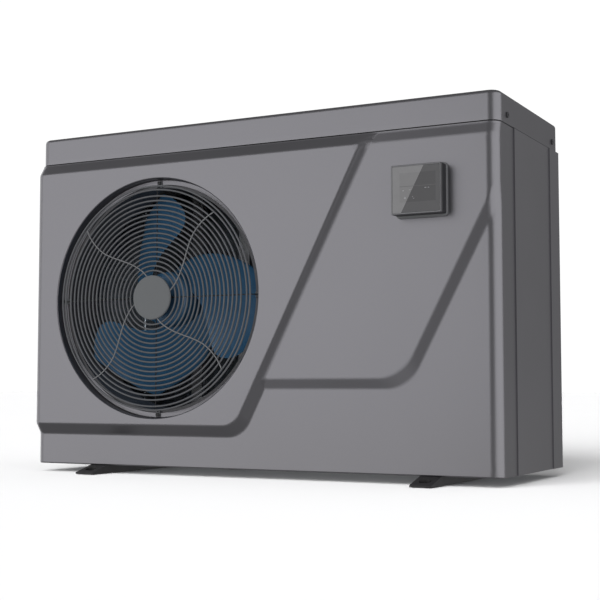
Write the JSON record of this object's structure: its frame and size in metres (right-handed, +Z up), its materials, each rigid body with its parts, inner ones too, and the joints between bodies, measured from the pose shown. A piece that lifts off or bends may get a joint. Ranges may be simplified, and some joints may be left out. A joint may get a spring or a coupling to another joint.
{
  "type": "pool heat pump unit",
  "caption": "Low wide grey casing with a round fan grille on the left, sloped raised panels, a small square touch display, two black foot rails and two water unions at the back.",
  "frame": {"origin": "on the ground at the centre of the outer box", "axes": "+X to the right of somebody facing the fan grille, +Y from front to back, +Z up"},
  "size_m": [0.9484, 0.4376, 0.648],
  "materials": {
    "casing_paint": "satin grey powder coat",
    "galvanised_steel": "galvanised",
    "black_steel": "black paint",
    "rubber": "matte",
    "zinc_steel": "zinc plated",
    "shaft_steel": "ground",
    "grille_wire": "satin grey powder coat",
    "disc_paint": "satin grey",
    "blue_plastic": "moulded blue",
    "motor_paint": "black enamel",
    "fin_aluminium": "coated fin stock",
    "copper": "copper tube",
    "valve_brass": "plain brass",
    "coil_plastic": "moulded black",
    "grey_pvc": "moulded grey",
    "black_pvc": "moulded black",
    "titanium": "titanium tube",
    "board_laminate": "green laminate",
    "display_plastic": "moulded dark grey",
    "display_module": "dark screen",
    "display_glass": "smoked touch glass"
  },
  "bodies": {
    "casing": {"front_panel": "casing_paint", "left_side_panel": "casing_paint", "right_side_panel": "casing_paint", "rear_panel": "casing_paint", "top_cover": "casing_paint", "base_pan": "galvanised_steel", "motor_bracket": "galvanised_steel", "partition_panel": "galvanised_steel", "control_box": "galvanised_steel", "control_box_lid": "galvanised_steel", "exchanger_bracket": "galvanised_steel", "fan_shroud": "galvanised_steel", "left_foot_rail": "black_steel", "right_foot_rail": "black_steel", "compressor": "black_steel", "suction_accumulator": "black_steel", "foot_pads": "rubber", "compressor_grommets": "rubber", "lid_seal": "rubber", "union_seals": "rubber", "foot_bolts": "zinc_steel", "compressor_bolts": "zinc_steel", "grille_screws": "zinc_steel", "rear_panel_screws": "zinc_steel", "top_cover_screws": "zinc_steel", "fan_grille": "grille_wire", "rear_coil_guard": "grille_wire", "left_coil_guard": "grille_wire", "grille_disc": "disc_paint", "fan_motor": "motor_paint", "evaporator_fins": "fin_aluminium", "evaporator_end_plates": "fin_aluminium", "heat_sink": "fin_aluminium", "evaporator_tubes": "copper", "refrigerant_pipes": "copper", "four_way_valve": "valve_brass", "expansion_valve": "valve_brass", "valve_coil": "coil_plastic", "terminal_block": "coil_plastic", "flow_switch_body": "coil_plastic", "exchanger_shell": "grey_pvc", "exchanger_caps": "grey_pvc", "water_pipes": "grey_pvc", "inlet_tailpiece": "grey_pvc", "outlet_tailpiece": "grey_pvc", "cable_glands": "black_pvc", "drain_spout": "black_pvc", "titanium_coil": "titanium", "control_board": "board_laminate", "display_base": "display_plastic", "display_housing": "display_plastic", "display_board": "display_module", "display_glass": "display_glass"},
    "fan_rotor": {"fan": "blue_plastic", "fan_nut": "zinc_steel", "motor_shaft": "shaft_steel"},
    "inlet_nut": {"inlet_union_nut": "black_pvc"},
    "outlet_nut": {"outlet_union_nut": "black_pvc"},
    "flow_paddle": {"flow_switch_paddle": "coil_plastic"}
  },
  "joints": [
    {"name": "fan_spin", "type": "hinge", "parent": "casing", "child": "fan_rotor", "pos_m": [-0.1913, -0.11025, 0.3265], "axis": [0, -1, 0], "continuous": true},
    {"name": "inlet_nut_turn", "type": "hinge", "parent": "casing", "child": "inlet_nut", "pos_m": [0.392, 0.17925, 0.12], "axis": [0, 1, 0], "continuous": true},
    {"name": "outlet_nut_turn", "type": "hinge", "parent": "casing", "child": "outlet_nut", "pos_m": [0.392, 0.17925, 0.33], "axis": [0, 1, 0], "continuous": true},
    {"name": "flow_paddle_swing", "type": "hinge", "parent": "casing", "child": "flow_paddle", "pos_m": [0.392, 0.09175, 0.162], "axis": [-1, 0, 0], "range_deg": [0, 20]}
  ]
}
